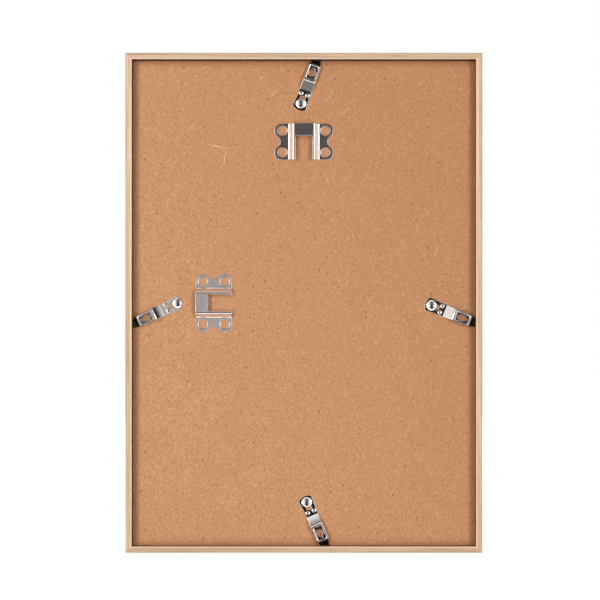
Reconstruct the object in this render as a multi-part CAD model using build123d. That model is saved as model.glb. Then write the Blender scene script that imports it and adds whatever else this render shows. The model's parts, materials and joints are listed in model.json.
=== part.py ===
from build123d import *
from build123d.geometry import TOLERANCE
import math
import os

# Wooden picture frame whose back panel is held by four turning spring clips.
# Millimetres. X runs across the frame, Z up, and Y from the wall towards the viewer of the picture.
# The back of the frame faces -Y. The origin is where the nail of the portrait hanger leaves the wall:
# on the frame's middle line, in the plane of the rails' back edges, at the height of the middle tooth gap.

# Back panel, insert and glazing. Panel and glazing are cut a little larger than the standard insert sheet,
# stand on the bottom rail and lie a little off the middle, towards +X.
insert_width = 210.0
insert_height = 297.0
insert_thickness = 0.3
panel_width = 210.2
panel_height = 297.6
panel_thickness = 2.5
glazing_thickness = 2.0
side_gap = 0.25
end_gap = 0.25
sheet_shift = 0.15

# Rails
rail_wall = 3.95
rail_face = 10.0
lip_thickness = 6.0
recess_depth = 7.2
outer_edge_radius = 0.8
inner_edge_radius = 0.4
front_edge_radius = 1.0

# V-nails in the mitres
nail_cover = 1.0
nail_sheet = 0.6
nail_leg = 2.6
nail_opening = 120.0

# Clip rivets
shank_diameter = 3.4
head_diameter = 6.3
head_height = 1.35
head_rim = 0.25
foot_diameter = 5.6
foot_thickness = 0.6
foot_sink = 0.15
running_clearance = 0.05

# Turn clips: bent strips that run from the rivet to a tongue in the rail's groove
pivot_to_wall = 26.5
nominal_lean = 22.5
tongue_engagement = 0.8
clip_sheet = 0.6
clip_lift = 0.05
clip_bend_radius = 0.9
clip_edge_radius = 0.18
heel_margin = 1.05
heel_bow = 1.45
heel_side = 1.2
slot_travel = 3.2
pip_land = 1.2
pip_spacing = 4.14
pip_diameter = 2.5
pip_height = 0.55
base_land = 1.3
waist_land = 3.7
waist_width = 7.65
riser_length = 5.35
grip_rise = 2.8
shoulder_width = 7.3
shoulder_land = 0.8
slope_length = 1.7
slope_drop = 1.9
tongue_length = 2.5
tongue_width = 5.2
tongue_corner_radius = 0.8

# Grip pressed into a shallow tray with an egg-shaped hole
dish_rim = 0.55
dish_ledge = 1.85
dish_depth = 0.6
dish_corner_radius = 0.7
dish_wall_run = 0.5
drop_diameter = 4.0
drop_tip_radius = 0.5
drop_start = 3.55
drop_end = 1.88
drop_edge_radius = 0.15

# Saw groove for the clip tongues
groove_clearance = 0.3

# Hangers: a raised bar with teeth on two legs, and an ear with two press-in rings at each end
hanger_to_pivot = 12.35
hanger_sheet = 0.8
hanger_rise = 3.5
hanger_bend_radius = 1.2
hanger_edge_radius = 0.2
hanger_height = 22.3
bar_height = 7.2
tooth_gaps = 5
tooth_pitch = 2.14
tooth_depth = 1.05
tooth_trim = 0.2
leg_land = 0.95
leg_corner_radius = 0.3
riser_run = 3.15
ear_land = 0.65
ear_side_margin = 2.1
ear_end_margin = 1.75
ear_lobe_radius = 4.4
waist_depth = 3.45
ring_diameter = 5.4
ring_sheet = 0.7
ring_depth = 1.6
ring_lip_radius = 0.6
ring_clearance = 0.05

# The four clips: place of the rivet along the rail from the frame's middle line, lean of the strip away
# from the shortest way to the rail, what the riveter added to the rivet's nominal distance from the rail,
# and how far the clip is slid along its slot towards the rail.
# Place and lean count along +X on the top and bottom rails, and along +Z on the side rails.
clip_sides = {
    "top": {"place": -1.8, "lean": 20.4, "offset": -0.1, "slid": -0.3},
    "right": {"place": -1.6, "lean": -22.5, "offset": 0.2, "slid": 0.0},
    "bottom": {"place": 1.8, "lean": 23.5, "offset": -0.2, "slid": 0.1},
    "left": {"place": -0.4, "lean": -25.5, "offset": 0.5, "slid": 0.6},
}

# The frame is a rectangle, so its sides face along its own axes
side_directions = {
    "top": Vector(0, 0, 1),
    "right": Vector(1, 0, 0),
    "bottom": Vector(0, 0, -1),
    "left": Vector(-1, 0, 0),
}

# Frame sizes that follow from the ones above
rabbet_depth = recess_depth + panel_thickness + insert_thickness + glazing_thickness
rail_depth = rabbet_depth + lip_thickness
opening_width = panel_width + 2 * side_gap
opening_height = panel_height + 2 * end_gap
outer_width = opening_width + 2 * rail_wall
outer_height = opening_height + 2 * rail_wall
panel_back_y = recess_depth
insert_back_y = panel_back_y + panel_thickness
glazing_back_y = insert_back_y + insert_thickness
edge_to_hanger = rail_wall + pivot_to_wall + hanger_to_pivot
middle_z = edge_to_hanger + bar_height - outer_height / 2

# Clip sizes that follow, along the strip from the nominal place of the rivet's axis and up from the panel.
# The slot runs as far towards the heel as the clip that is slid furthest needs.
slot_width = shank_diameter + 2 * running_clearance
heel_travel = max(side["slid"] for side in clip_sides.values())
heel_reach = head_diameter / 2 + heel_margin
heel_width = head_diameter + 2 * heel_side
pip_place = slot_travel + slot_width / 2 + pip_land
base_length = pip_place + pip_diameter / 2 + base_land
grip_start = base_length + riser_length
clip_length = pivot_to_wall / math.cos(math.radians(nominal_lean)) + tongue_engagement
tongue_start = clip_length - tongue_length
shoulder = tongue_start - slope_length
grip_length = shoulder - grip_start
drop_length = grip_length - drop_start - drop_end
base_level = clip_lift + clip_sheet / 2
grip_level = base_level + grip_rise
tongue_level = grip_level - slope_drop

# Groove sizes that follow: deep enough for the tongue that reaches furthest
tongue_depths = [
    (clip_length + side["slid"]) * math.cos(math.radians(side["lean"]))
    + tongue_width / 2 * abs(math.sin(math.radians(side["lean"])))
    - pivot_to_wall
    - side["offset"]
    for side in clip_sides.values()
]
groove_depth = max(tongue_depths) + groove_clearance
groove_width = clip_sheet + 2 * groove_clearance
groove_middle_y = panel_back_y - tongue_level

# Hanger sizes that follow, from the nail seat in the middle tooth gap
window_width = tooth_gaps * tooth_pitch - 2 * tooth_trim
bend_top = window_width / 2 + leg_land
bend_foot = bend_top + riser_run
leg_foot = bar_height - hanger_height
ear_middle = bar_height - hanger_height / 2
ring_x = bend_foot + ear_land + ring_lip_radius + ring_diameter / 2
ring_y = hanger_height / 2 - ear_end_margin - ring_diameter / 2
ring_places = [(x, ear_middle + y) for x in (-ring_x, ring_x) for y in (-ring_y, ring_y)]
hanger_length = 2 * (ring_x + ring_diameter / 2 + ear_side_margin)
waist_half_length = hanger_length / 2 - waist_depth


# Helpers
def half_size(direction, width, height):
    """Half of a width along X or of a height along Z, whichever lies along a direction of the frame."""
    return (width * abs(direction.X) + height * abs(direction.Z)) / 2


def on_panel(point, along):
    """Plane on the panel's back face: its X axis runs along a direction, its Z axis away from the panel."""
    return Plane(origin=(point.X, panel_back_y, point.Z), x_dir=along, z_dir=(0, -1, 0))


def frame_point(x, z):
    """Point given from the middle of the frame, in the plane of the rails' back edges."""
    return Vector(x, 0, middle_z + z)


def extruded(sketch, bottom, height):
    """Prism on a sketch drawn in the XY plane, from a level upwards."""
    return Pos(0, 0, bottom) * extrude(sketch, amount=height)


def strip(points, radius, sheet, width):
    """Bent sheet of even thickness: a centre line in the XZ plane, made as wide as given along Y."""
    line = FilletPolyline(*points, radius=radius)
    return extrude(Plane.XZ * trace(line, line_width=sheet), amount=width / 2, both=True)


def stamped(blank, plan, height, edge_radius):
    """Bent sheet cut to an outline in the XY plane, with the cut edges of its upper side rounded."""
    body = blank & extruded(plan, 0, height)
    cut_edges = {edge for face in body.faces() if is_upright(face) for edge in face.edges()}
    upper_edges = [edge for face in body.faces() if is_upper(face) for edge in face.edges()]
    return fillet([edge for edge in upper_edges if edge in cut_edges], edge_radius)


def is_upright(face):
    """Whether a face stands square to the XY plane."""
    return abs(face.normal_at().Z) < TOLERANCE


def is_upper(face):
    """Whether a face looks up from the XY plane."""
    return face.normal_at().Z > TOLERANCE


# Rails
def rail_section():
    """Section of a rail: X runs inwards from the outer edge, Y from the back edge to the front."""
    groove_back = groove_middle_y - groove_width / 2
    groove_front = groove_middle_y + groove_width / 2
    groove_floor = rail_wall - groove_depth
    outline = Polyline(
        (0, 0),
        (rail_wall, 0),
        (rail_wall, groove_back),
        (groove_floor, groove_back),
        (groove_floor, groove_front),
        (rail_wall, groove_front),
        (rail_wall, rabbet_depth),
        (rail_face, rabbet_depth),
        (rail_face, rail_depth),
        (0, rail_depth),
        close=True,
    )
    section = make_face(outline)
    eased = [
        (0, 0, outer_edge_radius),
        (rail_wall, 0, inner_edge_radius),
        (0, rail_depth, front_edge_radius),
        (rail_face, rail_depth, front_edge_radius),
    ]
    for x, y, radius in eased:
        corner = section.vertices().sort_by_distance((x, y, 0))[0]
        section = fillet(corner, radius)
    return section


def rail(outward):
    """Rail with mitred ends, on the side of the frame that faces a direction."""
    inwards = -outward
    along = inwards.cross(Vector(0, 1, 0))
    half_length = half_size(along, outer_width, outer_height)
    place = frame_point(0, 0) + outward * half_size(outward, outer_width, outer_height)
    section = Plane(origin=place, x_dir=inwards, z_dir=along) * rail_section()
    bar = extrude(section, half_length, both=True)
    mitre = make_face(
        Polyline(
            (0, -half_length),
            (rail_face, rail_face - half_length),
            (rail_face, half_length - rail_face),
            (0, half_length),
            close=True,
        )
    )
    seen_from_front = Plane(origin=place, x_dir=inwards, z_dir=inwards.cross(along))
    return bar & extrude(seen_from_front * mitre, rail_depth, both=True)


def corner_nail(side_x, side_z):
    """V-nail across the mitre of one corner, driven into the floor of the rabbet."""
    middle = (rail_wall + rail_face) / 2
    corner = frame_point(side_x * (outer_width / 2 - middle), side_z * (outer_height / 2 - middle))
    outwards = Vector(side_x, 0, side_z).normalized()
    half = math.radians(nail_opening / 2)
    leg_x = nail_leg * math.cos(half)
    leg_y = nail_leg * math.sin(half)
    line = Polyline((leg_x, -leg_y), (0, 0), (leg_x, leg_y))
    place = Plane(origin=(corner.X, rabbet_depth, corner.Z), x_dir=outwards, z_dir=(0, 1, 0))
    return place * extrude(trace(line, line_width=nail_sheet), lip_thickness - nail_cover)


# Sheets
def sheet(width, height, back_y, thickness):
    """Flat sheet that lies in the rabbet and stands on the bottom rail."""
    middle = frame_point(sheet_shift, (height - opening_height) / 2)
    return Pos(middle.X, back_y + thickness / 2, middle.Z) * Box(width, thickness, height)


# Clips and their rivets
def clip_frame(name):
    """Plane of a side's clip on the panel: its X axis runs from the rivet towards the tongue."""
    side = clip_sides[name]
    outward = side_directions[name]
    along_rail = Vector(abs(outward.Z), 0, abs(outward.X))
    to_middle = half_size(outward, opening_width, opening_height) - pivot_to_wall - side["offset"]
    pivot = frame_point(0, 0) + outward * to_middle + along_rail * side["place"]
    lean = math.radians(side["lean"])
    return on_panel(pivot, outward * math.cos(lean) + along_rail * math.sin(lean))


def clip_plan():
    """Outline of a clip seen from the back of the frame."""
    heel_corner = heel_bow - heel_reach
    heel = ThreePointArc((heel_corner, -heel_width / 2), (-heel_reach, 0), (heel_corner, heel_width / 2))
    half = [
        (heel_corner, heel_width / 2),
        (base_length - waist_land, waist_width / 2),
        (shoulder - shoulder_land, shoulder_width / 2),
        (tongue_start + shoulder_land, tongue_width / 2),
        (clip_length, tongue_width / 2),
    ]
    edge = Polyline(*half, *[(x, -y) for x, y in reversed(half)])
    plan = make_face(heel.edges() + edge.edges())
    tips = plan.vertices().sort_by(Axis.X)[-2:]
    return fillet(tips, tongue_corner_radius)


def drop_outline():
    """Egg shape of the hole in the grip, with its blunt end towards the rivet."""
    blunt_radius = drop_diameter / 2
    blunt_middle = grip_start + drop_start + blunt_radius
    tip_middle = grip_start + drop_start + drop_length - drop_tip_radius
    spread = math.asin((blunt_radius - drop_tip_radius) / (tip_middle - blunt_middle))
    ends = []
    for middle, radius, way in ((blunt_middle, blunt_radius, -1), (tip_middle, drop_tip_radius, 1)):
        touch = (middle + radius * math.sin(spread), radius * math.cos(spread))
        ends.append(ThreePointArc(touch, (middle + way * radius, 0), (touch[0], -touch[1])))
    sides = [Line(ends[0] @ end, ends[1] @ end) for end in (0, 1)]
    return make_face([edge for line in (*ends, *sides) for edge in line.edges()])


def dish(top):
    """Shallow tray in the grip: steep walls that lead from its rim down to a flat floor."""
    length = grip_length - dish_ledge - dish_rim
    width = shoulder_width - 2 * dish_rim
    place = Pos(grip_start + dish_ledge + length / 2, 0, top)
    mouth = RectangleRounded(length, width, dish_corner_radius)
    floor = RectangleRounded(length - 2 * dish_wall_run, width - 2 * dish_wall_run, dish_corner_radius)
    return loft([place * mouth, place * Pos(0, 0, -dish_depth) * floor], ruled=True)


def pip():
    """Low dome pressed up from a clip's base, standing on the XY plane with its root below it."""
    sphere_radius = (pip_diameter**2 / 4 + pip_height**2) / (2 * pip_height)
    root = clip_sheet / 2
    return extruded(Rectangle(pip_diameter + root, pip_diameter + root), -root, root + pip_height) & (
        Pos(0, 0, pip_height - sphere_radius) * Sphere(sphere_radius)
    )


def clip():
    """Turn clip lying on the XY plane, with the rivet's axis on Z and the tongue towards +X."""
    centre_line = [
        (-heel_reach - clip_sheet, base_level),
        (base_length, base_level),
        (grip_start, grip_level),
        (shoulder, grip_level),
        (tongue_start, tongue_level),
        (clip_length + clip_sheet, tongue_level),
    ]
    blank = strip(centre_line, clip_bend_radius, clip_sheet, heel_width)
    body = stamped(blank, clip_plan(), grip_level + clip_sheet, clip_edge_radius)
    grip_top = grip_level + clip_sheet / 2
    body = body + dish(grip_top - clip_sheet) - dish(grip_top)
    body = body - extruded(drop_outline(), 0, grip_top)
    body = fillet([edge for edge in body.edges() if is_drop_mouth(edge)], drop_edge_radius)
    slot_middle = (slot_travel - heel_travel) / 2
    slot = Pos(slot_middle, 0) * SlotCenterToCenter(slot_travel + heel_travel, slot_width)
    body = body - extruded(slot, 0, grip_level)
    for y in (-pip_spacing / 2, pip_spacing / 2):
        body = body + Pos(pip_place, y, clip_lift + clip_sheet) * pip()
    return body


def is_drop_mouth(edge):
    """Whether an edge runs along the upper side of the hole in a clip's grip."""
    box = edge.bounding_box()
    floor = grip_level + clip_sheet / 2 - dish_depth
    start = grip_start + drop_start
    level = abs(box.min.Z - floor) < TOLERANCE and abs(box.max.Z - floor) < TOLERANCE
    return level and box.min.X > start - TOLERANCE and box.max.X < start + drop_length + TOLERANCE


def rivet():
    """Rivet with its axis on Z: head over the clip, shank through the panel, foot sunk in its front."""
    head_under = clip_lift + clip_sheet + running_clearance
    head_top = head_under + head_rim + head_height
    foot_top = foot_sink + foot_thickness - panel_thickness
    foot_bottom = foot_sink - panel_thickness
    profile = Polyline(
        (0, head_top),
        (0, foot_bottom),
        (foot_diameter / 2, foot_bottom),
        (foot_diameter / 2, foot_top),
        (shank_diameter / 2, foot_top),
        (shank_diameter / 2, head_under),
        (head_diameter / 2, head_under),
        (head_diameter / 2, head_under + head_rim),
    )
    dome_radius = (head_diameter**2 / 4 + head_height**2) / (2 * head_height)
    half_spread = math.atan2(head_diameter / 2, dome_radius - head_height) / 2
    dome_middle = (
        dome_radius * math.sin(half_spread),
        head_top - dome_radius * (1 - math.cos(half_spread)),
    )
    dome = ThreePointArc((head_diameter / 2, head_under + head_rim), dome_middle, (0, head_top))
    face = Plane.XZ * make_face(profile.edges() + dome.edges())
    return revolve(face, Axis.Z)


def rivet_hole():
    """Room for a rivet in the panel: a running bore, and a sink for its foot in the front face."""
    bore = Cylinder(shank_diameter / 2 + running_clearance, 3 * panel_thickness)
    sink_depth = foot_sink + foot_thickness + running_clearance
    sink = Cylinder(foot_diameter / 2 + running_clearance, sink_depth)
    return bore + Pos(0, 0, sink_depth / 2 - panel_thickness) * sink


# Hangers
def blank_plan():
    """Outline of a hanger without its window: two lobes at each end, with a waist between them."""
    lobe_x = hanger_length / 2 - ear_lobe_radius
    lobe_y = hanger_height / 2 - ear_lobe_radius
    reach = waist_half_length - lobe_x
    waist_radius = (lobe_y**2 + reach**2 - ear_lobe_radius**2) / (2 * (ear_lobe_radius - reach))
    waist_x = waist_half_length + waist_radius
    lobe_share = ear_lobe_radius / (ear_lobe_radius + waist_radius)
    touch_x = lobe_x + (waist_x - lobe_x) * lobe_share
    touch_y = lobe_y * (1 - lobe_share)
    plan = Rectangle(2 * lobe_x, hanger_height) + Rectangle(2 * touch_x, 2 * touch_y)
    for x in (-lobe_x, lobe_x):
        for y in (-lobe_y, lobe_y):
            plan += Pos(x, y) * Circle(ear_lobe_radius)
    for x in (-waist_x, waist_x):
        plan -= Pos(x, 0) * Circle(waist_radius)
    return Pos(0, ear_middle) * plan


def window_plan():
    """Opening under the bar, with the teeth along its upper edge; the nail seat is the origin."""
    zigzag = [
        ((index - tooth_gaps) * tooth_pitch / 2, 0 if index % 2 else -tooth_depth)
        for index in range(tooth_gaps * 2 + 1)
    ]
    outline = Polyline(*zigzag, (zigzag[-1][0], leg_foot), (zigzag[0][0], leg_foot), close=True)
    return make_face(outline) & Rectangle(window_width, 2 * hanger_height)


def hanger_plan():
    """Outline of a hanger, with the feet of its legs rounded towards the window."""
    plan = blank_plan() - window_plan()
    corners = [(x, leg_foot, 0) for x in (-window_width / 2, window_width / 2)]
    feet = [plan.vertices().sort_by_distance(corner)[0] for corner in corners]
    return fillet(feet, leg_corner_radius)


def hanger():
    """Hanger lying on the XY plane: nail seat on Z, bar along X with its teeth towards -Y."""
    low = hanger_sheet / 2
    high = low + hanger_rise
    half = hanger_length / 2 + hanger_sheet
    centre_line = [
        (-half, low),
        (-bend_foot, low),
        (-bend_top, high),
        (bend_top, high),
        (bend_foot, low),
        (half, low),
    ]
    blank = strip(centre_line, hanger_bend_radius, hanger_sheet, 3 * hanger_height)
    body = stamped(blank, hanger_plan(), high + hanger_sheet, hanger_edge_radius)
    collar_height = hanger_sheet + ring_depth
    for x, y in ring_places:
        place = Pos(x, y, hanger_sheet - collar_height / 2)
        body = body + place * Cylinder(ring_diameter / 2 + ring_sheet, collar_height)
        body = body - place * Cylinder(ring_diameter / 2, 2 * collar_height)
    mouths = [edge for edge in body.edges().filter_by(GeomType.CIRCLE) if is_ring_mouth(edge)]
    return fillet(mouths, ring_lip_radius)


def is_ring_mouth(edge):
    """Whether a round edge is the mouth of a ring, on the upper side of an ear."""
    right_size = abs(edge.radius - ring_diameter / 2) < TOLERANCE
    return right_size and abs(edge.arc_center.Z - hanger_sheet) < TOLERANCE


def ring_groove():
    """Round cut that a hanger's ring leaves in the panel's back face, with the core left standing."""
    inner_radius = ring_diameter / 2 - ring_clearance
    outer_radius = ring_diameter / 2 + ring_sheet + ring_clearance
    cut = Circle(outer_radius) - Circle(inner_radius)
    return extruded(cut, -ring_depth - ring_clearance, 2 * ring_depth)


# Assembly
nodes = {}
for name, outward in side_directions.items():
    nodes[name + "_rail"] = rail(outward)

for z_name, side_z in (("top", 1), ("bottom", -1)):
    for x_name, side_x in (("left", -1), ("right", 1)):
        nail = corner_nail(side_x, side_z)
        nodes["corner_nail_" + z_name + "_" + x_name] = nail
        for rail_name in (z_name + "_rail", x_name + "_rail"):
            nodes[rail_name] -= nail

nodes["glazing_sheet"] = sheet(panel_width, panel_height, glazing_back_y, glazing_thickness)
nodes["insert_sheet"] = sheet(insert_width, insert_height, insert_back_y, insert_thickness)

landscape_seat = frame_point(edge_to_hanger + bar_height - outer_width / 2, 0)
hanger_frames = {
    "portrait_hanger": on_panel(Vector(0, 0, 0), Vector(1, 0, 0)),
    "landscape_hanger": on_panel(landscape_seat, Vector(0, 0, 1)),
}
panel = sheet(panel_width, panel_height, panel_back_y, panel_thickness)
for name, place in hanger_frames.items():
    nodes[name] = place * hanger()
    for x, y in ring_places:
        panel -= place * Pos(x, y) * ring_groove()
for name in clip_sides:
    place = clip_frame(name)
    nodes[name + "_clip"] = place * Pos(clip_sides[name]["slid"], 0) * clip()
    nodes[name + "_rivet"] = place * rivet()
    panel -= place * rivet_hole()
nodes["back_panel"] = panel

os.makedirs("parts", exist_ok=True)
for name, shape in nodes.items():
    export_step(shape, "parts/" + name + ".step")
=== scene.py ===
import json
import math

import bpy
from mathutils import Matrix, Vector


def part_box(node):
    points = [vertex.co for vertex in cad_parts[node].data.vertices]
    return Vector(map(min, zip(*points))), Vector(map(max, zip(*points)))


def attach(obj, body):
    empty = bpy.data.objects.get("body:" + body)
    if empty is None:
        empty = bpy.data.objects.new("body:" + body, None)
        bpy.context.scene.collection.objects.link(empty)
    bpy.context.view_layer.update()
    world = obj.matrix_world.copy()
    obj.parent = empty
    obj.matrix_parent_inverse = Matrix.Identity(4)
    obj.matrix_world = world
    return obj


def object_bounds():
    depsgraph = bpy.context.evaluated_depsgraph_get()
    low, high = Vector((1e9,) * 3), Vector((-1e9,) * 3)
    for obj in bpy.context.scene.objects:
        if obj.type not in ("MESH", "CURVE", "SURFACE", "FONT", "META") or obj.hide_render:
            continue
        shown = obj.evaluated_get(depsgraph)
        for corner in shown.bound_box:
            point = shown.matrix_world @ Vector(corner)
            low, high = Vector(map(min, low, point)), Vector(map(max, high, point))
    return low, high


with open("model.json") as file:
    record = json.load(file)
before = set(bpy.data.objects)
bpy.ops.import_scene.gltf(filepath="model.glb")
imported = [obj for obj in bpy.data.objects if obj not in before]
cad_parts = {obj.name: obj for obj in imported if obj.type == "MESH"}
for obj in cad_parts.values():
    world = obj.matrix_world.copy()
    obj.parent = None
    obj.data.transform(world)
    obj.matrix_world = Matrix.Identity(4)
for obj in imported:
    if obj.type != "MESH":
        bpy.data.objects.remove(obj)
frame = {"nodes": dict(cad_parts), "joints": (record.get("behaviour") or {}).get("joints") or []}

cad_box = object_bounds()

# Sizes of the view, in pixels of the photograph and in metres
IMAGE_SIZE = 600
FRAME_CENTRE_PIXEL = (303.9, 302.8)
METRES_PER_PIXEL = 0.0006118
CAMERA_DISTANCE = 1.4
SENSOR_WIDTH = 36.0

# Sizes of the rails' section and of the band along its inner edge where a highlight and shade are painted, in
# metres
RAIL_WALL = 0.00395
RABBET_DEPTH = 0.012
INNER_EDGE_BAND = (0.0011, 0.0006)
# Scales of the wood's grain, and the share of them that is kept along the rail
GRAIN_SCALES = {"bands": 420.0, "streaks": 1100.0, "fibres": 4200.0, "pores": 1900.0}
GRAIN_STRETCH = 0.02
PORE_STRETCH = 0.12
GRAIN_SHIFT = 1.7
GRAIN_DEPTH = 0.00006
# Depths at which the painted highlight on the inner edge ends and the raw wood of the recess, darkened
# further by painted shade, starts
EDGE_HIGHLIGHT_DEPTHS = (0.0, 0.0002)
RAW_AND_SHADE_DEPTHS = (0.0001, 0.0003)

# Tones of the upright and the level rails, in screen values
RAIL_TONES = {
    "upright": {
        "light": (231, 200, 167),
        "middle": (213, 178, 144),
        "dark": (187, 146, 108),
        "pale": (239, 212, 182),
        "pore": (166, 121, 84),
        # pale inner edge: a painted highlight
        "edge_highlight": (250, 220, 184),
        # recess wall: raw wood, darkened further as painted shade
        "raw_and_shade": (92, 61, 46),
    },
    "level": {
        "light": (215, 185, 156),
        "middle": (198, 167, 137),
        "dark": (174, 138, 105),
        "pale": (223, 198, 170),
        "pore": (156, 114, 80),
        # pale inner edge: a painted highlight
        "edge_highlight": (236, 208, 176),
        # recess wall: raw wood, darkened further as painted shade
        "raw_and_shade": (112, 74, 52),
    },
}

# Finishes of the steel: tone in screen values, roughness of the flat sheet, anisotropy of its brushing
CLIP_FINISH = ((228, 224, 221), 0.12, 0.5)
RIVET_FINISH = ((236, 232, 229), 0.06, 0.0)
PORTRAIT_HANGER_FINISH = ((226, 220, 218), 0.34, 0.9)
LANDSCAPE_HANGER_FINISH = ((226, 220, 218), 0.33, 0.9)
NAIL_FINISH = ((170, 167, 163), 0.4, 0.0)
# Dark tone of a painted reflection on each clip's tongue
DARK_REFLECTION_TONE = (104, 100, 98)
# Roughness of sheet steel where it is bent or pressed
BURNISHED_ROUGHNESS = 0.09
# Scales of the brush lines and of stray scratches, and the angle between the two
BRUSH_SCALE = (120.0, 3000.0, 5200.0)
STRAY_SCALE = (60.0, 900.0, 2600.0)
STRAY_TURN = 0.5
BRUSH_DEPTH = 0.000006
# Scales of the steel's waves and stains, and the depth of the waves
WAVE_SCALE = 110.0
STAIN_SCALE = 380.0
WAVE_DEPTH = 0.0004
STAIN_SHADE = 0.9

# Sizes of the clips, in metres: distances from the end of the tongue, and the rounding of pressed edges
RISER_HEAD = 0.01543
RISER_FOOT = 0.02078
BEAD_PLACE = 0.01448
TONGUE_RUN = 0.0042
PRESSED_RADIUS = 0.0004
# Lengths over which the lean changes at a bend and the painted dark reflection on the tongue ends
BEND_BLEND = 0.0003
DARK_REFLECTION_BLEND = 0.0004
# Sizes of the bead across each clip, in metres, with the shares of its section that its rounded ends keep
BEAD_LENGTH = 0.007
BEAD_HALF_WIDTH = 0.00092
BEAD_TOP_HALF_WIDTH = 0.00015
BEAD_HEIGHT = 0.00055
BEAD_SINK = 0.0001
BEAD_FLANK_STEPS = 10
BEAD_ENDS = ((1.0, 0.2), (0.985, 0.6), (0.94, 0.87), (0.88, 1.0))
# Lean of each clip's sheet as it is sprung in, by X and Z:
# at the grip, at the riser's head and foot, and at the base
CLIP_LEAN = {
    "top": ((0.0, 0.0), (0.0, 0.0), (0.0, 0.0), (0.0, 0.0)),
    "right": ((0.0, 0.0), (0.0, 0.0), (0.0, 0.0), (0.0, 0.0)),
    "bottom": ((0.0, 0.0), (0.0, 0.0), (-0.25, 0.0), (0.0, 0.0)),
    "left": ((-0.06, -0.03), (-0.36, -0.17), (-0.06, -0.03), (-0.21, -0.1)),
}

# Pale scratches on the panel's back: X and Z of both ends, in metres
BOARD_SCRATCHES = (
    ((-0.0480, -0.0098), (-0.0492, -0.0175)),
    ((-0.0581, -0.0058), (-0.0458, -0.0083)),
    ((-0.0198, 0.0244), (-0.0167, 0.0275)),
)
SCRATCH_WIDTH = 0.0005
# Way in which the panel grows darker, for one metre towards its upper right corner, and the width of the
# painted shade along its edges by the rails
BOARD_DARKER = (1.7, 0.0, 1.17)
BOARD_SHADE_WIDTH = 0.006
BOARD_TONES = {
    "ground": (188, 132, 89),
    "pale_ground": (222, 169, 127),
    "grit": (176, 121, 84),
    "cloud": (199, 142, 99),
    "corner": (181, 124, 84),
    # painted shade along the edges, where the rails shade the panel
    "margin": (158, 100, 66),
    "dark_fibre": (158, 100, 62),
    "pale_fibre": (236, 190, 148),
    "speck": (116, 66, 40),
    "scratch": (244, 212, 178),
}
# Scales of the panel's clouds, mottle and grit, and the depth of its relief
BOARD_SCALES = {"clouds": 45.0, "mottle": 950.0, "grit": 2100.0}
BOARD_DEPTH = 0.00005
# Layers of fibres in the panel: the way they lie, and their tone
FIBRE_SCALE = (320.0, 900.0, 2400.0)
FIBRE_LAYERS = (
    (0.3, "dark_fibre"),
    (1.35, "pale_fibre"),
    (2.4, "dark_fibre"),
    (0.9, "pale_fibre"),
    (1.9, "dark_fibre"),
)
# Layers of dark specks: their turn and scale, and the share of places without one
SPECK_LAYERS = (
    (0.0, (420.0, 420.0, 260.0), 0.94),
    (0.6, (560.0, 560.0, 560.0), 0.93),
)

# Glass and paper: tones, and the scales of smears, felt and clouds
GLASS_TINT = (253, 255, 254)
GLASS_IOR = 1.5
SMEAR_SCALE = (28.0, 28.0, 90.0)
PAPER_SCALES = {"felt": 900.0, "clouds": 40.0}
FELT_DEPTH = 0.00004
PAPER_TONES = {"light": (243, 240, 232), "cloud": (238, 234, 225), "felt": (226, 221, 210)}

# Light of the stage: what the floor and the world give, and the dark cloth that the steel mirrors
WHITE = (1.0, 1.0, 1.0, 1.0)
FLOOR_HALF_SIZE = 4.0
FLOOR_GREY = (0.45, 0.45, 0.45, 1.0)
FLOOR_GLOW = 0.95
FLOOR_FADE = (0.3, 1.6)
WORLD_FILL = 0.02
FLAG_TINT = (1.0, 0.97, 0.95, 1.0)
FLAG_LEAST_GLOW = 0.012
FLAG_RADIUS = 2.6
FLAG_HALF_WIDTH = 18.5
FLAG_LOW = -84.0
FLAG_HIGH = 100.0
FLAG_STEPS = 24
# Steps of the cloth's glow along its middle column and out to its sides: from and to an angle, at two levels
FLAG_COLUMN = (
    (2.0, 34.0, 0.0, 0.12),
    (40.0, 60.0, 0.0, 0.15),
    (70.0, 80.0, 0.0, 1.4),
    (-72.0, -60.0, 2.4, 0.0),
)
FLAG_SIDES = (
    (0.0, 62.0, 0.0, 1.25),
    (56.0, 70.0, 0.0, 3.8),
)
# Lamps: place by X, by Y and above the lamps' height, width and height in metres, power in watts
LAMP_RISE = 0.08
LAMPS = {
    "softbox_left": ((-0.775, -1.34, 0.0), (0.55, 1.6), 16.7),
    "softbox_right": ((0.775, -1.34, 0.0), (0.55, 1.6), 16.4),
    "softbox_front_left": ((0.775, 1.34, 0.3), (0.55, 1.0), 15.0),
    "softbox_front_right": ((-0.775, 1.34, 0.3), (0.55, 1.0), 12.0),
}

# Sides and corners of the frame
SIDES = ("top", "right", "bottom", "left")
CORNERS = ("top_left", "top_right", "bottom_left", "bottom_right")


# Helpers for shader nodes
def srgb(red, green, blue):
    """Linear colour with alpha, from screen values of 0 to 255."""
    channels = [value / 255 for value in (red, green, blue)]
    linear = [c / 12.92 if c <= 0.04045 else ((c + 0.055) / 1.055) ** 2.4 for c in channels]
    return (*linear, 1.0)


def node(tree, kind, inputs=None, **settings):
    """New shader node. Inputs are values or sockets, by name or number."""
    made = tree.nodes.new("ShaderNode" + kind)
    for name, value in settings.items():
        setattr(made, name, value)
    for key, value in (inputs or {}).items():
        if isinstance(value, bpy.types.NodeSocket):
            tree.links.new(value, made.inputs[key])
        else:
            made.inputs[key].default_value = value
    return made


def calc(tree, operation, first, second=0.0, clamp=False):
    """Result of a sum or other operation on one or two values."""
    return node(tree, "Math", {0: first, 1: second}, operation=operation, use_clamp=clamp).outputs[0]


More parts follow.
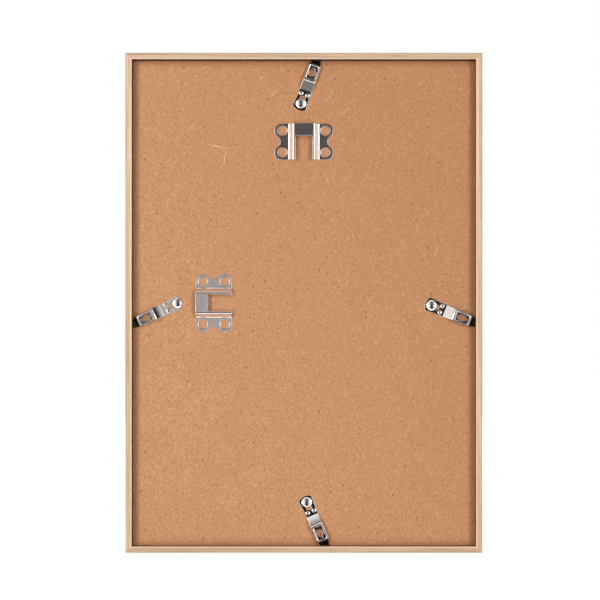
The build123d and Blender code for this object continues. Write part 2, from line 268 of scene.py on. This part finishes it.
def mix(tree, factor, first, second, blend="MIX"):
    """Two colours mixed by a factor."""
    inputs = {0: factor, 6: first, 7: second}
    return node(tree, "Mix", inputs, data_type="RGBA", blend_type=blend).outputs[2]


def blend_vectors(tree, factor, first, second):
    """Two vectors mixed by a factor."""
    return node(tree, "Mix", {0: factor, 4: first, 5: second}, data_type="VECTOR").outputs[1]


def steps(tree, value, low, high, to_low=0.0, to_high=1.0):
    """Value carried smoothly from one range to another, and held at its ends."""
    inputs = {"Value": value, 1: low, 2: high, 3: to_low, 4: to_high}
    return node(tree, "MapRange", inputs, interpolation_type="SMOOTHSTEP").outputs[0]


def stretched(tree, place, scale, turn=0.0):
    """Coordinates turned about Y by an angle, then scaled along each axis."""
    turned = node(tree, "Mapping", {"Vector": place, "Rotation": (0.0, turn, 0.0)}).outputs[0]
    return node(tree, "Mapping", {"Vector": turned, "Scale": scale}).outputs[0]


def noise(tree, place, detail=2.0, roughness=0.5, distortion=0.0):
    """Noise of unit scale over coordinates that are already scaled."""
    inputs = {
        "Vector": place,
        "Scale": 1.0,
        "Detail": detail,
        "Roughness": roughness,
        "Distortion": distortion,
    }
    return node(tree, "TexNoise", inputs).outputs[0]


def even_noise(tree, place, scale, **settings):
    """Noise of the same scale along each axis."""
    return noise(tree, stretched(tree, place, (scale, scale, scale)), **settings)


def bump(tree, height, distance, strength=1.0, normal=None):
    """Normal bent by a height, with the depth that a height of one stands for in metres."""
    inputs = {"Height": height, "Distance": distance, "Strength": strength}
    if normal is not None:
        inputs["Normal"] = normal
    return node(tree, "Bump", inputs).outputs[0]


def new_material(name):
    """Empty node material and its tree, with the coordinates of the object."""
    material = bpy.data.materials.new(name)
    material.use_nodes = True
    tree = material.node_tree
    tree.nodes.clear()
    place = node(tree, "TexCoord").outputs["Object"]
    return material, tree, place


def close_material(tree, inputs):
    """Ends a material in one principled shader."""
    shader = node(tree, "BsdfPrincipled", inputs)
    node(tree, "OutputMaterial", {"Surface": shader.outputs[0]})


def paint(node_name, material):
    """Gives a CAD node its material."""
    slots = frame["nodes"][node_name].data.materials
    slots.clear()
    slots.append(material)


# Materials
def wood(name, side, tone, seed):
    """Sanded pale wood with its grain along the rail, a painted highlight along its inner edge, and raw wood
    in the recess darkened further by painted shade.
    """
    material, tree, place = new_material(name)
    shifted = node(tree, "Mapping", {"Vector": place, "Location": (seed, seed, seed)}).outputs[0]
    upright = side in ("left", "right")
    lengthwise = (1.0, 1.0, GRAIN_STRETCH) if upright else (GRAIN_STRETCH, 1.0, 1.0)

    def grain(layer, least_share=0.0, **settings):
        scale = [GRAIN_SCALES[layer] * max(share, least_share) for share in lengthwise]
        return noise(tree, stretched(tree, shifted, scale), **settings)

    bands = grain("bands", detail=3.0, distortion=0.6)
    streaks = grain("streaks", detail=4.0, roughness=0.65)
    fibres = grain("fibres", detail=2.0)
    pores = grain("pores", PORE_STRETCH)
    colour = mix(tree, steps(tree, bands, 0.38, 0.62), srgb(*tone["light"]), srgb(*tone["middle"]))
    colour = mix(tree, steps(tree, streaks, 0.46, 0.72, 0.0, 0.75), colour, srgb(*tone["dark"]))
    colour = mix(tree, steps(tree, fibres, 0.5, 0.8, 0.0, 0.3), colour, srgb(*tone["pale"]))
    colour = mix(tree, steps(tree, pores, 0.64, 0.74, 0.0, 0.6), colour, srgb(*tone["pore"]))

    low_corner, high_corner = (Vector(corner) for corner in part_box(side + "_rail"))
    x, depth, z = node(tree, "SeparateXYZ", {0: place}).outputs
    inward = {
        "left": calc(tree, "SUBTRACT", x, low_corner.x),
        "right": calc(tree, "SUBTRACT", high_corner.x, x),
        "bottom": calc(tree, "SUBTRACT", z, low_corner.z),
        "top": calc(tree, "SUBTRACT", high_corner.z, z),
    }[side]
    inner = steps(tree, inward, *[RAIL_WALL - width for width in INNER_EDGE_BAND])
    # Painted highlight along the inner edge of the back face, where the eased edge would catch the light
    edge_highlight = calc(tree, "MULTIPLY", inner, steps(tree, depth, *EDGE_HIGHLIGHT_DEPTHS, 1.0, 0.0))
    edge_highlight = calc(tree, "MULTIPLY", edge_highlight, steps(tree, streaks, 0.3, 0.5, 0.35, 0.85))
    colour = mix(tree, edge_highlight, colour, srgb(*tone["edge_highlight"]))
    # Raw wood on the recess wall, darkened further as painted shade
    raw_and_shade = calc(tree, "MULTIPLY", inner, steps(tree, depth, *RAW_AND_SHADE_DEPTHS))
    raw_and_shade = calc(tree, "MULTIPLY", raw_and_shade, calc(tree, "LESS_THAN", depth, RABBET_DEPTH))
    colour = mix(tree, calc(tree, "MULTIPLY", raw_and_shade, 0.85), colour, srgb(*tone["raw_and_shade"]))

    height = calc(tree, "SUBTRACT", fibres, steps(tree, pores, 0.62, 0.76))
    roughness = steps(tree, streaks, 0.3, 0.8, 0.5, 0.68)
    close_material(
        tree,
        {
            "Base Color": colour,
            "Roughness": roughness,
            "Specular IOR Level": 0.35,
            "Normal": bump(tree, height, GRAIN_DEPTH, 0.5),
        },
    )
    return material


def hairline(tree, place, start, end, width):
    """One along a scratch on the panel's back, between two points given by X and Z, and zero beside it."""
    first, last = (Vector((x, 0.0, z)) for x, z in (start, end))
    flat = node(tree, "VectorMath", {0: place, 1: (1.0, 0.0, 1.0)}, operation="MULTIPLY").outputs[0]
    way = node(tree, "VectorMath", {0: flat, 1: first}, operation="SUBTRACT").outputs[0]
    run = last - first
    unit_run = run / run.length_squared
    along = node(tree, "VectorMath", {0: way, 1: unit_run}, operation="DOT_PRODUCT").outputs["Value"]
    share = calc(tree, "MULTIPLY", along, 1.0, clamp=True)
    foot = node(tree, "VectorMath", {0: run, "Scale": share}, operation="SCALE").outputs[0]
    away = node(tree, "VectorMath", {0: way, 1: foot}, operation="DISTANCE").outputs["Value"]
    return steps(tree, away, 0.3 * width, 0.8 * width, 1.0, 0.0)


def hardboard():
    """Smooth brown fibre board: pressed fibres that lie every way, dark specks and a few pale scratches."""
    material, tree, place = new_material("hardboard_brown")
    clouds = even_noise(tree, place, BOARD_SCALES["clouds"], detail=3.0)
    mottle = even_noise(tree, place, BOARD_SCALES["mottle"], detail=5.0, roughness=0.7)
    grit = even_noise(tree, place, BOARD_SCALES["grit"], detail=2.0)
    tones = {part: srgb(*tone) for part, tone in BOARD_TONES.items()}
    colour = mix(tree, steps(tree, mottle, 0.3, 0.7), tones["ground"], tones["pale_ground"])
    colour = mix(tree, steps(tree, grit, 0.5, 0.75, 0.0, 0.5), colour, tones["grit"])
    colour = mix(tree, steps(tree, clouds, 0.35, 0.7, 0.0, 0.3), colour, tones["cloud"])
    low_corner, high_corner = (Vector(corner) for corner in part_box("back_panel"))
    way = node(tree, "VectorMath", {0: place, 1: low_corner}, operation="SUBTRACT").outputs[0]
    darker = node(tree, "VectorMath", {0: way, 1: BOARD_DARKER}, operation="DOT_PRODUCT").outputs["Value"]
    colour = mix(tree, steps(tree, darker, 0.05, 0.7, 0.0, 0.66), colour, tones["corner"])
    x, _, z = node(tree, "SeparateXYZ", {0: place}).outputs
    margins = [
        calc(tree, "SUBTRACT", x, low_corner.x),
        calc(tree, "SUBTRACT", high_corner.x, x),
        calc(tree, "SUBTRACT", z, low_corner.z),
        calc(tree, "SUBTRACT", high_corner.z, z),
    ]
    # Painted shade along the panel's edges, where the rails shade it
    margin = calc(tree, "MINIMUM", calc(tree, "MINIMUM", *margins[:2]), calc(tree, "MINIMUM", *margins[2:]))
    colour = mix(tree, steps(tree, margin, 0.0, BOARD_SHADE_WIDTH, 0.36, 0.0), colour, tones["margin"])
    relief = mottle
    for turn, tone in FIBRE_LAYERS:
        fibre = noise(tree, stretched(tree, place, FIBRE_SCALE, turn), detail=1.5)
        amount = steps(tree, fibre, 0.64, 0.76, 0.0, 0.65)
        colour = mix(tree, amount, colour, tones[tone])
        relief = calc(tree, "SUBTRACT" if tone == "dark_fibre" else "ADD", relief, amount)
    for turn, scale, share in SPECK_LAYERS:
        cells = node(tree, "TexVoronoi", {"Vector": stretched(tree, place, scale, turn), "Scale": 1.0})
        drawn = node(tree, "SeparateColor", {0: cells.outputs["Color"]}).outputs[0]
        near = steps(tree, cells.outputs["Distance"], 0.12, 0.26, 1.0, 0.0)
        speck = calc(tree, "MULTIPLY", near, calc(tree, "GREATER_THAN", drawn, share))
        colour = mix(tree, calc(tree, "MULTIPLY", speck, 0.7), colour, tones["speck"])
    for start, end in BOARD_SCRATCHES:
        line = hairline(tree, place, start, end, SCRATCH_WIDTH)
        scratch = calc(tree, "MULTIPLY", line, steps(tree, mottle, 0.3, 0.6))
        colour = mix(tree, calc(tree, "MULTIPLY", scratch, 0.6), colour, tones["scratch"])
    close_material(
        tree,
        {
            "Base Color": colour,
            "Roughness": steps(tree, mottle, 0.3, 0.75, 0.42, 0.6),
            "Specular IOR Level": 0.35,
            "Normal": bump(tree, relief, BOARD_DEPTH, 0.35),
        },
    )
    return material


def tongue_end(side, tip):
    """Place of the end of a clip's tongue along the clip's own direction."""
    return max(vertex.co.dot(tip) for vertex in frame["nodes"][side + "_clip"].data.vertices)


def end_distance(tree, place, side, tip):
    """Distance from the end of a clip's tongue, back along the clip."""
    end = tongue_end(side, tip)
    along = node(tree, "VectorMath", {0: place, 1: tip}, operation="DOT_PRODUCT").outputs["Value"]
    return calc(tree, "SUBTRACT", end, along)


def pressed(tree, place):
    """Normal of pressed sheet, with its edges rounded over."""
    return node(tree, "Bevel", {"Radius": PRESSED_RADIUS}, samples=8).outputs[0]


def sprung(tree, place, side, tip):
    """Normal of a clip's sheet: leant as the clip is sprung in, with rounded edges."""
    grip, head, foot, base = ((x, 0.0, z) for x, z in CLIP_LEAN[side])
    from_end = end_distance(tree, place, side, tip)
    riser = blend_vectors(tree, steps(tree, from_end, RISER_HEAD, RISER_FOOT), head, foot)
    lean = blend_vectors(tree, steps(tree, from_end, RISER_HEAD - BEND_BLEND, RISER_HEAD), grip, riser)
    lean = blend_vectors(tree, steps(tree, from_end, RISER_FOOT, RISER_FOOT + BEND_BLEND), lean, base)
    return leant(tree, pressed(tree, place), lean)


def painted_dark_tongue(tree, place, side, tip):
    """One on a clip's tongue, where a dark reflection is painted into the steel's colour, and zero on the
    rest of the clip.
    """
    from_end = end_distance(tree, place, side, tip)
    return steps(tree, from_end, TONGUE_RUN - DARK_REFLECTION_BLEND, TONGUE_RUN, 1.0, 0.0)


def leant(tree, normal, lean):
    """Normal leant by a vector that turns with the object."""
    turned = node(
        tree, "VectorTransform", {0: lean}, vector_type="VECTOR", convert_from="OBJECT", convert_to="WORLD"
    ).outputs[0]
    bent = node(tree, "VectorMath", {0: normal, 1: turned}, operation="ADD").outputs[0]
    return node(tree, "VectorMath", {0: bent}, operation="NORMALIZE").outputs[0]


def steel(name, brush_angle, finish, form=None, dark_reflection=None):
    """Plated steel sheet, brushed along a direction that is given by its angle from +X towards +Z.

    The finish is that of the flat sheet; where the tools have formed it, it is burnished. A form gives the
    normal of a sheet that is bent, and the last argument gives the share of a dark reflection painted into
    the colour.
    """
    tone, roughness, anisotropy = finish
    material, tree, place = new_material(name)
    normal = node(tree, "TexCoord").outputs["Normal"]
    facing = calc(tree, "ABSOLUTE", node(tree, "SeparateXYZ", {0: normal}).outputs[1])
    formed = steps(tree, facing, 0.95, 0.995, BURNISHED_ROUGHNESS, roughness)
    brushed = noise(tree, stretched(tree, place, BRUSH_SCALE, brush_angle), detail=2.0)
    scratches = noise(tree, stretched(tree, place, STRAY_SCALE, brush_angle + STRAY_TURN), detail=1.0)
    waves = even_noise(tree, place, WAVE_SCALE, detail=1.0)
    stains = even_noise(tree, place, STAIN_SCALE, detail=4.0, roughness=0.6)
    stained = srgb(*[STAIN_SHADE * value for value in tone])
    colour = mix(tree, steps(tree, stains, 0.42, 0.75, 0.0, 0.4), srgb(*tone), stained)
    # Painted dark reflection on the clip's tongue
    if dark_reflection:
        colour = mix(tree, dark_reflection(tree, place), colour, srgb(*DARK_REFLECTION_TONE))
    rough = calc(tree, "ADD", steps(tree, stains, 0.3, 0.75, -0.02, 0.03), formed)
    rough = calc(tree, "ADD", rough, steps(tree, brushed, 0.35, 0.7, -0.02, 0.03))
    rough = calc(tree, "ADD", rough, steps(tree, scratches, 0.66, 0.74, 0.0, 0.06))
    normal = bump(tree, waves, WAVE_DEPTH, 0.12, form(tree, place) if form else None)
    normal = bump(tree, brushed, BRUSH_DEPTH, 0.2, normal)
    across = node(
        tree,
        "VectorTransform",
        {"Vector": (-math.sin(brush_angle), 0.0, math.cos(brush_angle))},
        vector_type="VECTOR",
        convert_from="OBJECT",
        convert_to="WORLD",
    ).outputs[0]
    close_material(
        tree,
        {
            "Base Color": colour,
            "Metallic": 1.0,
            "Roughness": rough,
            "Anisotropic": anisotropy,
            "Tangent": across,
            "Normal": normal,
        },
    )
    return material


def clear_glass():
    """Float glass with a faint green cast, clear to the rays that light the sheet behind it."""
    material, tree, place = new_material("clear_glass_sheet")
    smears = noise(tree, stretched(tree, place, SMEAR_SCALE), detail=5.0, roughness=0.7)
    shader = node(
        tree,
        "BsdfPrincipled",
        {
            "Base Color": srgb(*GLASS_TINT),
            "Roughness": steps(tree, smears, 0.55, 0.8, 0.0, 0.03),
            "Transmission Weight": 1.0,
            "IOR": GLASS_IOR,
        },
    )
    path = node(tree, "LightPath").outputs
    lighting = calc(tree, "MAXIMUM", path["Is Shadow Ray"], path["Is Diffuse Ray"])
    clear = node(tree, "BsdfTransparent", {"Color": srgb(*GLASS_TINT)})
    both = node(tree, "MixShader", {0: lighting, 1: shader.outputs[0], 2: clear.outputs[0]})
    node(tree, "OutputMaterial", {"Surface": both.outputs[0]})
    return material


def plain_paper():
    """Plain off-white paper with a fine felt side."""
    material, tree, place = new_material("plain_paper_sheet")
    felt = even_noise(tree, place, PAPER_SCALES["felt"], detail=4.0, roughness=0.6)
    clouds = even_noise(tree, place, PAPER_SCALES["clouds"], detail=3.0)
    tones = {part: srgb(*tone) for part, tone in PAPER_TONES.items()}
    colour = mix(tree, steps(tree, clouds, 0.3, 0.7), tones["light"], tones["cloud"])
    colour = mix(tree, steps(tree, felt, 0.55, 0.8, 0.0, 0.3), colour, tones["felt"])
    close_material(
        tree,
        {
            "Base Color": colour,
            "Roughness": steps(tree, felt, 0.3, 0.7, 0.75, 0.9),
            "Normal": bump(tree, felt, FELT_DEPTH, 0.4),
        },
    )
    return material


# Small trim
def clip_bead(side, tip, material):
    """Low bead pressed across a clip's ledge, closed underneath, that moves with the clip."""
    name = side + "_clip_bead"
    sideways = Vector((-tip.z, 0.0, tip.x))
    offsets = [vertex.co.dot(sideways) for vertex in frame["nodes"][side + "_clip"].data.vertices]
    centre = tip * (tongue_end(side, tip) - BEAD_PLACE) + sideways * (min(offsets) + max(offsets)) / 2
    centre.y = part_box(side + "_clip")[0][1]
    flank = []
    for step in range(BEAD_FLANK_STEPS + 1):
        share = step / BEAD_FLANK_STEPS
        run = BEAD_TOP_HALF_WIDTH + (BEAD_HALF_WIDTH - BEAD_TOP_HALF_WIDTH) * share
        flank.append((run, BEAD_HEIGHT * (1 + math.cos(math.pi * share)) / 2))
    section = [(-run, rise) for run, rise in reversed(flank)] + flank
    section += [(BEAD_HALF_WIDTH, -BEAD_SINK), (-BEAD_HALF_WIDTH, -BEAD_SINK)]
    stations = [(-share, scale) for share, scale in BEAD_ENDS] + list(reversed(BEAD_ENDS))
    corners, faces = [], []
    for share, scale in stations:
        for run, rise in section:
            outward = rise * scale if rise > 0.0 else rise
            corner = centre + tip * run * scale + sideways * share * BEAD_LENGTH / 2
            corners.append(corner - Vector((0.0, outward, 0.0)))
    count = len(section)
    for station in range(len(stations) - 1):
        first = station * count
        for point in range(count):
            following = (point + 1) % count
            faces.append((first + point, first + following, first + count + following, first + count + point))
    faces.append(tuple(reversed(range(count))))
    faces.append(tuple(range(len(corners) - count, len(corners))))
    mesh = bpy.data.meshes.new(name)
    mesh.from_pydata(corners, [], faces)
    mesh.polygons.foreach_set("use_smooth", [len(face) == 4 for face in faces])
    mesh.materials.append(material)
    bead = bpy.data.objects.new(name, mesh)
    bpy.context.scene.collection.objects.link(bead)
    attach(bead, side + "_clip")


# The frame's nodes and their finishes
for seed, side in enumerate(SIDES):
    tone = RAIL_TONES["upright" if side in ("left", "right") else "level"]
    paint(side + "_rail", wood(side + "_rail_wood", side, tone, seed + GRAIN_SHIFT))

paint("back_panel", hardboard())
paint("glazing_sheet", clear_glass())
paint("insert_sheet", plain_paper())

joints = {joint["name"]: joint for joint in frame["joints"]}
for side in SIDES:
    tip = -Vector(joints[side + "_clip_slide"]["axis"])
    across = math.atan2(tip.z, tip.x) + math.pi / 2
    lean = Vector((CLIP_LEAN[side][-1][0], 0.0, CLIP_LEAN[side][-1][1]))
    clip_steel = steel(
        side + "_clip_steel",
        across,
        CLIP_FINISH,
        lambda tree, place: sprung(tree, place, side, tip),
        lambda tree, place: painted_dark_tongue(tree, place, side, tip),
    )
    rivet_steel = steel(
        side + "_rivet_steel",
        across,
        RIVET_FINISH,
        lambda tree, place: leant(tree, node(tree, "NewGeometry").outputs["Normal"], lean),
    )
    paint(side + "_clip", clip_steel)
    paint(side + "_rivet", rivet_steel)
    clip_bead(side, tip, steel(side + "_bead_steel", across, CLIP_FINISH))
portrait_steel = steel("portrait_hanger_steel", 0.0, PORTRAIT_HANGER_FINISH, pressed)
landscape_steel = steel("landscape_hanger_steel", math.pi / 2, LANDSCAPE_HANGER_FINISH, pressed)
paint("portrait_hanger", portrait_steel)
paint("landscape_hanger", landscape_steel)
nail_steel = steel("nail_steel_bare", 0.0, NAIL_FINISH)
for corner in CORNERS:
    paint("corner_nail_" + corner, nail_steel)


# Stage
def seen_share(tree):
    """One for rays that look at a thing, also by mirror or through glass, and zero for rays that light it."""
    path = node(tree, "LightPath").outputs
    seen = calc(tree, "ADD", path["Is Camera Ray"], path["Is Glossy Ray"], clamp=True)
    return calc(tree, "ADD", seen, path["Is Transmission Ray"], clamp=True)


def stage_mesh(name, corners, faces, material):
    """Stage piece from its corners and faces."""
    mesh = bpy.data.meshes.new(name)
    mesh.from_pydata(corners, [], faces)
    mesh.materials.append(material)
    made = bpy.data.objects.new(name, mesh)
    bpy.context.scene.collection.objects.link(made)
    return made


def floor_material():
    """White floor that keeps a faint shadow near the frame."""
    material, tree, place = new_material("floor_white")
    away = node(tree, "VectorMath", {0: place, 1: middle}, operation="DISTANCE").outputs["Value"]
    strength = calc(tree, "MULTIPLY", seen_share(tree), steps(tree, away, *FLOOR_FADE, FLOOR_GLOW, 1.0))
    glow = node(tree, "Emission", {"Color": WHITE, "Strength": strength})
    matt = node(tree, "BsdfDiffuse", {"Color": FLOOR_GREY})
    both = node(tree, "AddShader", {0: glow.outputs[0], 1: matt.outputs[0]})
    node(tree, "OutputMaterial", {"Surface": both.outputs[0]})
    return material


def flag_material():
    """Dark studio cloth that pales towards its ends, with a lamp that shines through far out on each side."""
    material, tree, place = new_material("flag_dark")
    x, y, z = node(tree, "SeparateXYZ", {0: place}).outputs
    height = calc(tree, "ARCTAN2", z, calc(tree, "MULTIPLY", y, -1.0))
    sideways = calc(tree, "ARCTAN2", calc(tree, "ABSOLUTE", x), FLAG_RADIUS)

    def glow_steps(angle, rows):
        total = FLAG_LEAST_GLOW
        for low_angle, high_angle, *levels in rows:
            step = steps(tree, angle, math.radians(low_angle), math.radians(high_angle), *levels)
            total = calc(tree, "ADD", total, step)
        return total

    level = calc(tree, "MAXIMUM", glow_steps(height, FLAG_COLUMN), glow_steps(sideways, FLAG_SIDES))
    glow = node(tree, "Emission", {"Color": FLAG_TINT, "Strength": level})
    node(tree, "OutputMaterial", {"Surface": glow.outputs[0]})
    return material


def flag_arch():
    """Cloth arched over the camera, around the X axis through the object, that only mirrors show."""
    corners, faces = [], []
    for step in range(FLAG_STEPS + 1):
        height = math.radians(FLAG_LOW + (FLAG_HIGH - FLAG_LOW) * step / FLAG_STEPS)
        for x in (-FLAG_HALF_WIDTH, FLAG_HALF_WIDTH):
            corners.append((x, -FLAG_RADIUS * math.cos(height), FLAG_RADIUS * math.sin(height)))
        if step:
            faces.append((2 * step - 2, 2 * step - 1, 2 * step + 1, 2 * step))
    flag = stage_mesh("flag", corners, faces, flag_material())
    flag.location = middle
    flag.visible_camera = False
    flag.visible_diffuse = False
    flag.visible_transmission = False
    flag.visible_shadow = False


def softbox(name, place, target, size, power):
    """Large soft lamp that faces a point and isn't seen itself."""
    light = bpy.data.lights.new(name, "AREA")
    light.shape = "RECTANGLE"
    light.size, light.size_y = size
    light.energy = power
    lamp = bpy.data.objects.new(name, light)
    lamp.location = place
    lamp.rotation_euler = (Vector(target) - Vector(place)).to_track_quat("-Z", "Y").to_euler()
    lamp.visible_camera = False
    lamp.visible_glossy = False
    bpy.context.scene.collection.objects.link(lamp)


low, high = (Vector(corner) for corner in cad_box)
middle = (low + high) / 2
back = low.y

floor_signs = ((-1, -1), (1, -1), (1, 1), (-1, 1))
floor_corners = [(FLOOR_HALF_SIZE * x, FLOOR_HALF_SIZE * y, low.z) for x, y in floor_signs]
floor = stage_mesh("floor", floor_corners, [(0, 1, 2, 3)], floor_material())
floor.visible_glossy = False
floor.visible_shadow = False
flag_arch()

lamp_height = middle.z + LAMP_RISE
for name, ((x, y, rise), size, power) in LAMPS.items():
    softbox(name, (x, y, lamp_height + rise), middle, size, power)

world = bpy.data.worlds.new("studio")
bpy.context.scene.world = world
world.use_nodes = True
world.node_tree.nodes.clear()
fill = calc(world.node_tree, "MULTIPLY", seen_share(world.node_tree), 1.0 - WORLD_FILL)
background = node(
    world.node_tree,
    "Background",
    {"Color": WHITE, "Strength": calc(world.node_tree, "ADD", fill, WORLD_FILL)},
)
node(world.node_tree, "OutputWorld", {"Surface": background.outputs[0]})

# Camera
pixel_offset = [value - IMAGE_SIZE / 2 for value in FRAME_CENTRE_PIXEL]
camera_data = bpy.data.cameras.new("camera")
camera_data.sensor_width = SENSOR_WIDTH
camera_data.lens = SENSOR_WIDTH * CAMERA_DISTANCE / (IMAGE_SIZE * METRES_PER_PIXEL)
camera = bpy.data.objects.new("camera", camera_data)
camera.location = (
    middle.x - pixel_offset[0] * METRES_PER_PIXEL,
    back - CAMERA_DISTANCE,
    middle.z + pixel_offset[1] * METRES_PER_PIXEL,
)
camera.rotation_euler = (math.pi / 2, 0.0, 0.0)
bpy.context.scene.collection.objects.link(camera)
bpy.context.scene.camera = camera
bpy.context.scene.view_settings.view_transform = "Standard"
